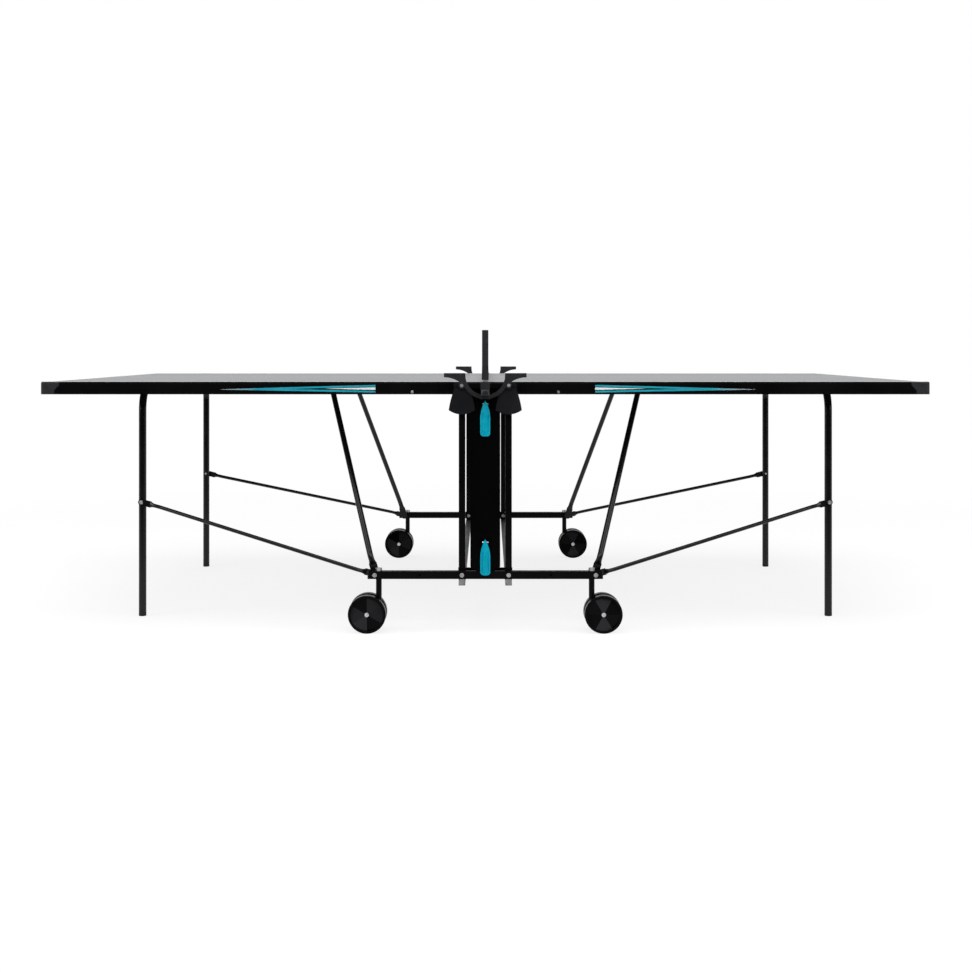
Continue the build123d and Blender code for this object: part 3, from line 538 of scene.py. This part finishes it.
joined = add(tree, "GeometryNodeJoinGeometry")
for part in (tubes.outputs["Mesh"], knots.outputs["Instances"]):
    tree.links.new(part, joined.inputs["Geometry"])
close_tree(tree, joined.outputs["Geometry"], net_cord)


def hang(mesh):
    """Lets the top of the net dip in the middle, as a taut tape still does."""
    for vertex in mesh.vertices:
        rise = min(1.0, max(0.0, (vertex.co.z - NET_LOW) / (TAPE_TOP - NET_LOW)))
        vertex.co.z -= NET_SAG * rise * (1 - (vertex.co.y / NET_HALF) ** 2)


net_mesh = grow(tree, "net_cords", bpy.data.meshes.new("net_start"), {
    "Length": 2 * (NET_HALF - KNOT_RADIUS), "Height": net_height,
    "Columns": round(2 * NET_HALF / NET_CELL) + 1, "Rows": round(net_height / NET_CELL) + 1,
})
hang(net_mesh)
net = piece("net_cords", net_mesh, "chassis")
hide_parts("net_mesh")

# Tape folded over the top of the net, and the hem along its bottom
TAPE_HALF = 1.5 * MM
TAPE_WALL = 0.6 * MM
FOLD_STEPS = 8
HEM_HALF = 1.3 * MM
HEM_TOP = NET_LOW + 8 * MM
BAND_STEPS = 96


def band(name, section, finish):
    """A strip along the net from a closed section of X and Z points."""
    form = bmesh.new()
    rings = [
        [form.verts.new((x, NET_HALF * (2 * k / BAND_STEPS - 1), z)) for x, z in section]
        for k in range(BAND_STEPS + 1)
    ]
    join_rings(form, rings)
    form.faces.new(rings[0])
    form.faces.new(rings[-1])
    made = mesh_of(form, name, smooth=True)
    hang(made)
    return piece(name, made, "chassis", finish)


tape_bore = TAPE_HALF - TAPE_WALL
fold_z = TAPE_TOP - TAPE_HALF
tape_section = [(TAPE_HALF, NET_HIGH)] + arc(0, fold_z, TAPE_HALF, 0, 180, FOLD_STEPS)
tape_section += [(-TAPE_HALF, NET_HIGH), (-tape_bore, NET_HIGH)]
tape_section += arc(0, fold_z, tape_bore, 180, -180, FOLD_STEPS) + [(tape_bore, NET_HIGH)]
tape = band("net_white_tape", tape_section, tape_white)
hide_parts("net_tape")
hem = band("net_bottom_hem", [
    (HEM_HALF, NET_LOW), (HEM_HALF, HEM_TOP), (-HEM_HALF, HEM_TOP), (-HEM_HALF, NET_LOW),
], hem_black)

# Stitches along the lower edge of the tape, on both faces
STITCH_PITCH = 6 * MM
STITCH_LENGTH = 4 * MM
STITCH_RADIUS = 0.35 * MM
STITCH_RISE = 2 * MM
tree, entry = node_tree("tape_stitches", {
    "Count": ("NodeSocketInt", 1), "Pitch": ("NodeSocketFloat", STITCH_PITCH),
    "Face": ("NodeSocketFloat", TAPE_HALF), "Height": ("NodeSocketFloat", NET_HIGH),
})
joined = add(tree, "GeometryNodeJoinGeometry")
thread = add(tree, "GeometryNodeMeshIcoSphere", {"Radius": STITCH_RADIUS, "Subdivisions": 1})
long_thread = add(tree, "GeometryNodeTransform", {
    "Geometry": thread.outputs["Mesh"],
    "Scale": (1, STITCH_LENGTH / 2 / STITCH_RADIUS, 1),
})
for sign in (-1, 1):
    face = add(tree, "ShaderNodeMath", {0: entry.outputs["Face"], 1: sign}, operation="MULTIPLY")
    origin = add(tree, "ShaderNodeCombineXYZ", {
        "X": face.outputs["Value"], "Y": STITCH_PITCH - NET_HALF, "Z": entry.outputs["Height"],
    })
    stride = add(tree, "ShaderNodeCombineXYZ", {"Y": entry.outputs["Pitch"]})
    row = add(tree, "GeometryNodeMeshLine", {
        "Count": entry.outputs["Count"], "Start Location": origin.outputs["Vector"],
        "Offset": stride.outputs["Vector"],
    })
    sewn = add(tree, "GeometryNodeInstanceOnPoints", {
        "Points": row.outputs["Mesh"], "Instance": long_thread.outputs["Geometry"],
    })
    tree.links.new(sewn.outputs["Instances"], joined.inputs["Geometry"])
close_tree(tree, joined.outputs["Geometry"], tape_white)
stitch_mesh = grow(tree, "tape_stitches", bpy.data.meshes.new("stitch_start"), {
    "Count": int(2 * NET_HALF / STITCH_PITCH) - 1, "Height": NET_HIGH + STITCH_RISE,
})
hang(stitch_mesh)
stitches = piece("tape_stitches", stitch_mesh, "chassis")

# Bolt and screw heads: one dome with a recess, set on every fastener by its place and direction.
# Radius, height and recess of each kind, then shares of the radius and the height.
HEAD_SIZES = {
    "bolt": (6.6 * MM, 4.6 * MM, "hexagon"),
    "bridge": (5.1 * MM, 4.6 * MM, "hexagon"),
    "axle": (6.6 * MM, 2.6 * MM, "hexagon"),
    "screw": (4.6 * MM, 2.1 * MM, "cross"),
}
HEAD_STEPS = 24
HEAD_PROFILE = ((1.0, 0.0), (1.0, 0.45), (0.93, 0.72), (0.80, 0.92), (0.68, 1.0))
HEXAGON_SHARE = 0.46
CROSS_ARM_SHARE = 0.62
CROSS_WAIST_SHARE = 0.2
CROSS_ARM_DEG = 9
RECESS_TAPER = 0.92
RECESS_FLOOR = 0.4
HEAD_PROUD = 0.1 * MM


def head_mesh(name, radius, height, recess):
    """Dome head on +Z with a hexagon or a cross recess."""
    def recess_radius(angle):
        turn = math.degrees(angle)
        if recess == "hexagon":
            return HEXAGON_SHARE * radius / math.cos(math.radians(turn % 60 - 30))
        on_arm = abs(turn % 90 - 45) > 45 - CROSS_ARM_DEG
        return (CROSS_ARM_SHARE if on_arm else CROSS_WAIST_SHARE) * radius

    angles = [2 * math.pi * k / HEAD_STEPS for k in range(HEAD_STEPS)]
    rings = [[(share * radius, level * height)] * HEAD_STEPS for share, level in HEAD_PROFILE]
    rings.append([(recess_radius(a), height) for a in angles])
    rings.append([(RECESS_TAPER * recess_radius(a), RECESS_FLOOR * height) for a in angles])
    form = bmesh.new()
    dome = [
        [form.verts.new((r * math.cos(a), r * math.sin(a), z)) for (r, z), a in zip(ring, angles)]
        for ring in rings
    ]
    join_rings(form, dome)
    form.faces.new(dome[-1])
    form.faces.new(dome[0])
    return mesh_of(form, name)


head_tree, entry = node_tree("fastener_heads", {"Head": ("NodeSocketObject", None)})
head_info = add(head_tree, "GeometryNodeObjectInfo", {"Object": entry.outputs["Head"]})
aim = add(head_tree, "GeometryNodeInputNamedAttribute", {"Name": "aim"}, data_type="FLOAT_VECTOR")
turned = add(head_tree, "FunctionNodeAlignRotationToVector", {"Vector": aim.outputs["Attribute"]},
             axis="Z")
placed = add(head_tree, "GeometryNodeInstanceOnPoints", {
    "Points": entry.outputs["Geometry"], "Instance": head_info.outputs["Geometry"],
    "Rotation": turned.outputs["Rotation"],
})
close_tree(head_tree, placed.outputs["Instances"], zinc)

# One head of each kind to copy from, taken away again after the last copy
heads = {}
for kind, sizes in HEAD_SIZES.items():
    heads[kind] = bpy.data.objects.new(f"{kind}_head", head_mesh(f"{kind}_head", *sizes))
    bpy.context.scene.collection.objects.link(heads[kind])


def fasteners(name, body, kind, places, finish=zinc):
    """Puts one kind of head at each (x, y, z, direction) of a body."""
    start = bpy.data.meshes.new(name + "_start")
    start.from_pydata([place[:3] for place in places], [], [])
    aims = start.attributes.new("aim", "FLOAT_VECTOR", "POINT")
    for item, place in zip(aims.data, places):
        item.vector = place[3]
    made = grow(head_tree, name, start, {"Head": heads[kind]})
    piece(name, made, body, finish)


def end_heads(name, body, kind, node):
    """Heads on the near and the far end of a node, just proud of the plain heads it has there."""
    low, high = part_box(node)
    x, z = (low.x + high.x) / 2, (low.z + high.z) / 2
    depth = HEAD_SIZES[kind][1] - HEAD_PROUD
    fasteners(name, body, kind, [
        (x, high.y - depth, z, (0, 1, 0)), (x, low.y + depth, z, (0, -1, 0)),
    ])


PIVOT_INSET = 19 * MM
POST_HALF = 10 * MM
BRIDGE_BOLT_Z = 0.7505
bar_low, bar_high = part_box("far_side_bar")
bar_z = (bar_low.z + bar_high.z) / 2
pivot_x = bar_high.x - PIVOT_INSET
post_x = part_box("far_guide_posts")[1].x - POST_HALF
bridge_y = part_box("far_bridge")[1].y
bolt_places = []
bridge_places = []
for side in SIDES.values():
    outwards = (0, side, 0)
    for sign in ENDS.values():
        bolt_places.append((sign * pivot_x, side * bar_high.y, bar_z, outwards))
        bolt_places.append((sign * post_x, side * bar_high.y, bar_z, outwards))
        bridge_places.append((sign * post_x, side * bridge_y, BRIDGE_BOLT_Z, outwards))
fasteners("chassis_bolt_heads", "chassis", "bolt", bolt_places, bolt_zinc)
fasteners("bridge_bolt_heads", "chassis", "bridge", bridge_places)
for side in SIDES:
    for end in ENDS:
        end_heads(f"{side}_{end}_axle_heads", f"{side}_{end}_wheels", "axle",
                  f"{side}_{end}_axle")
for end in ENDS:
    end_heads(f"{end}_brace_bolt_heads", f"{end}_braces", "bolt", f"{end}_brace_bolts")
    end_heads(f"{end}_apron_screw_heads", f"{end}_half", "screw", f"{end}_apron_screws")
for obj in heads.values():
    bpy.data.objects.remove(obj)

# Zinc collar round the foot of each net post
COLLAR_LOW = TABLE_TOP + 3 * MM
COLLAR_HIGH = TABLE_TOP + 8.5 * MM
COLLAR_HALF_X = 11.2 * MM
COLLAR_HALF_Y = 11.7 * MM
COLLAR_CORNER = 5 * MM
COLLAR_WALL = 0.9 * MM
NET_POST_Y = 0.915


def rounded(half_x, half_y, radius):
    """Outline of a rectangle with round corners."""
    corners = ((1, 1), (-1, 1), (-1, -1), (1, -1))
    return [
        point for quarter, (along, across) in enumerate(corners)
        for point in arc(along * (half_x - radius), across * (half_y - radius), radius,
                         90 * quarter, 90, CORNER_STEPS)
    ]


form = bmesh.new()
outer_line = rounded(COLLAR_HALF_X, COLLAR_HALF_Y, COLLAR_CORNER)
inner_line = rounded(COLLAR_HALF_X - COLLAR_WALL, COLLAR_HALF_Y - COLLAR_WALL,
                     COLLAR_CORNER - COLLAR_WALL)
for side in SIDES.values():
    rings = [
        [form.verts.new((x, side * NET_POST_Y + y, z)) for x, y in line]
        for line, z in ((outer_line, COLLAR_LOW), (outer_line, COLLAR_HIGH),
                        (inner_line, COLLAR_HIGH), (inner_line, COLLAR_LOW))
    ]
    join_rings(form, rings + rings[:1])
piece("net_post_collars", mesh_of(form, "net_post_collars"), "chassis", zinc)

# Stage: a pale floor that keeps the shadow and runs out into the white backdrop.
# Reflections see it dim in front of the table.
FLOOR_HALF = 40
FLOOR_LIFT = 0.81
FADE_START = 2.2
FADE_END = 4.4
DIM_UP_TO_Y = -2.4
CLEAR_FROM_Y = -0.9
DIM_SIDE = 0.06
form = bmesh.new()
bmesh.ops.create_grid(form, x_segments=1, y_segments=1, size=FLOOR_HALF)
floor_mesh = bpy.data.meshes.new("floor")
form.to_mesh(floor_mesh)
form.free()
floor = bpy.data.objects.new("floor", floor_mesh)
bpy.context.scene.collection.objects.link(floor)
floor_finish = bpy.data.materials.new("pale_studio_floor")
floor_finish.use_nodes = True
tree = floor_finish.node_tree
tree.nodes.clear()


def seen_rays(tree):
    """The Light Path node, and a value of 1 for camera, reflection and transmission rays."""
    rays = add(tree, "ShaderNodeLightPath")
    first = add(tree, "ShaderNodeMath", {
        0: rays.outputs["Is Camera Ray"], 1: rays.outputs["Is Glossy Ray"],
    }, operation="MAXIMUM")
    both = add(tree, "ShaderNodeMath", {
        0: first.outputs["Value"], 1: rays.outputs["Is Transmission Ray"],
    }, operation="MAXIMUM")
    return rays, both.outputs["Value"]


rays, seen = seen_rays(tree)
place = add(tree, "ShaderNodeTexCoord").outputs["Object"]
away = add(tree, "ShaderNodeVectorMath", {0: place}, operation="LENGTH")
far_off = add(tree, "ShaderNodeMapRange", {
    "Value": away.outputs["Value"], "From Min": FADE_START, "From Max": FADE_END,
}, interpolation_type="SMOOTHSTEP")
apart = add(tree, "ShaderNodeSeparateXYZ", {"Vector": place})
in_front = add(tree, "ShaderNodeMapRange", {
    "Value": apart.outputs["Y"], "From Min": DIM_UP_TO_Y, "From Max": CLEAR_FROM_Y,
    "To Min": DIM_SIDE,
}, interpolation_type="SMOOTHSTEP")
mirrored = add(tree, "ShaderNodeMath", {
    0: in_front.outputs["Result"], 1: rays.outputs["Is Camera Ray"],
}, operation="MAXIMUM")
matt = add(tree, "ShaderNodeBsdfDiffuse", {"Color": srgb("#808080")})
lifted = add(tree, "ShaderNodeMath", {0: seen, 1: FLOOR_LIFT}, operation="MULTIPLY")
lift = add(tree, "ShaderNodeMath", {
    0: lifted.outputs["Value"], 1: mirrored.outputs["Value"],
}, operation="MULTIPLY")
glow = add(tree, "ShaderNodeEmission", {"Color": WHITE, "Strength": lift.outputs["Value"]})
near = add(tree, "ShaderNodeAddShader", {0: matt.outputs["BSDF"], 1: glow.outputs["Emission"]})
white = add(tree, "ShaderNodeEmission", {"Color": WHITE, "Strength": mirrored.outputs["Value"]})
runs_out = add(tree, "ShaderNodeMath", {
    0: far_off.outputs["Result"], 1: seen,
}, operation="MULTIPLY")
total = add(tree, "ShaderNodeMixShader", {
    0: runs_out.outputs["Value"], 1: near.outputs["Shader"], 2: white.outputs["Emission"],
})
add(tree, "ShaderNodeOutputMaterial", {"Surface": total.outputs["Shader"]})
floor_mesh.materials.append(floor_finish)

# World: white to the eye. To reflections it is a studio, white behind and above, dim elsewhere.
# The limits are shares of a ray's direction, along Y for behind and along Z for above.
WORLD_FILL = 0.45
BEHIND_FROM, BEHIND_TO = 0.1, 0.7
ABOVE_FROM, ABOVE_TO = 0.3, 0.6
world = bpy.data.worlds.new("white_studio")
bpy.context.scene.world = world
world.use_nodes = True
tree = world.node_tree
tree.nodes.clear()
rays, seen = seen_rays(tree)
direction = add(tree, "ShaderNodeTexCoord").outputs["Generated"]
apart = add(tree, "ShaderNodeSeparateXYZ", {"Vector": direction})
behind = add(tree, "ShaderNodeMapRange", {
    "Value": apart.outputs["Y"], "From Min": BEHIND_FROM, "From Max": BEHIND_TO,
}, interpolation_type="SMOOTHSTEP")
above = add(tree, "ShaderNodeMapRange", {
    "Value": apart.outputs["Z"], "From Min": ABOVE_FROM, "From Max": ABOVE_TO,
}, interpolation_type="SMOOTHSTEP")
bright = add(tree, "ShaderNodeMath", {
    0: behind.outputs["Result"], 1: above.outputs["Result"],
}, operation="MAXIMUM")
reflected = add(tree, "ShaderNodeMapRange", {
    "Value": bright.outputs["Value"], "To Min": DIM_SIDE, "To Max": 1.0,
})
shown = add(tree, "ShaderNodeMath", {
    0: reflected.outputs["Result"], 1: rays.outputs["Is Camera Ray"],
}, operation="MAXIMUM")
level = add(tree, "ShaderNodeMix", {0: seen, 2: WORLD_FILL, 3: shown.outputs["Value"]})
sky = add(tree, "ShaderNodeBackground", {"Color": WHITE, "Strength": level.outputs[0]})
add(tree, "ShaderNodeOutputWorld", {"Surface": sky.outputs["Background"]})

# Soft rectangular lamps: place, point that each is aimed at, size and watts
LAMPS = {
    "top_softbox": ((0, -0.6, 4.2), (0, 0, 0.4), (5.0, 3.4), 120),
    "front_softbox": ((0, -5.8, 3.4), (0, 0, 0.5), (4.0, 1.6), 110),
    "left_softbox": ((-4.2, -2.6, 2.2), (0, 0, 0.5), (1.6, 2.6), 60),
    "right_softbox": ((4.2, -2.6, 2.2), (0, 0, 0.5), (1.6, 2.6), 60),
}
for name, (place, target, size, watts) in LAMPS.items():
    lamp = bpy.data.lights.new(name, "AREA")
    lamp.shape = "RECTANGLE"
    lamp.size, lamp.size_y = size
    lamp.energy = watts
    obj = bpy.data.objects.new(name, lamp)
    bpy.context.scene.collection.objects.link(obj)
    obj.location = place
    obj.rotation_mode = "QUATERNION"
    obj.rotation_quaternion = (Vector(target) - Vector(place)).to_track_quat("-Z", "Y")

# Camera: level, at the height of the net, with the frame shifted down to hold the casters
PHOTO_SIZE = 972
FOCAL_PX = 1476.7
HORIZON_Y = 348.5
CENTRE_X = 487.9
CAMERA_PLACE = (0.008, -5.3035, 0.862)
view = bpy.data.cameras.new("photo_view")
view.sensor_width = 36
view.lens = FOCAL_PX / PHOTO_SIZE * view.sensor_width
view.shift_x = (PHOTO_SIZE / 2 - CENTRE_X) / PHOTO_SIZE
view.shift_y = (HORIZON_Y - PHOTO_SIZE / 2) / PHOTO_SIZE
view.clip_end = 200
camera = bpy.data.objects.new("photo_view", view)
bpy.context.scene.collection.objects.link(camera)
camera.location = CAMERA_PLACE
camera.rotation_euler = (math.pi / 2, 0, 0)
bpy.context.scene.camera = camera
bpy.context.scene.view_settings.view_transform = "Standard"
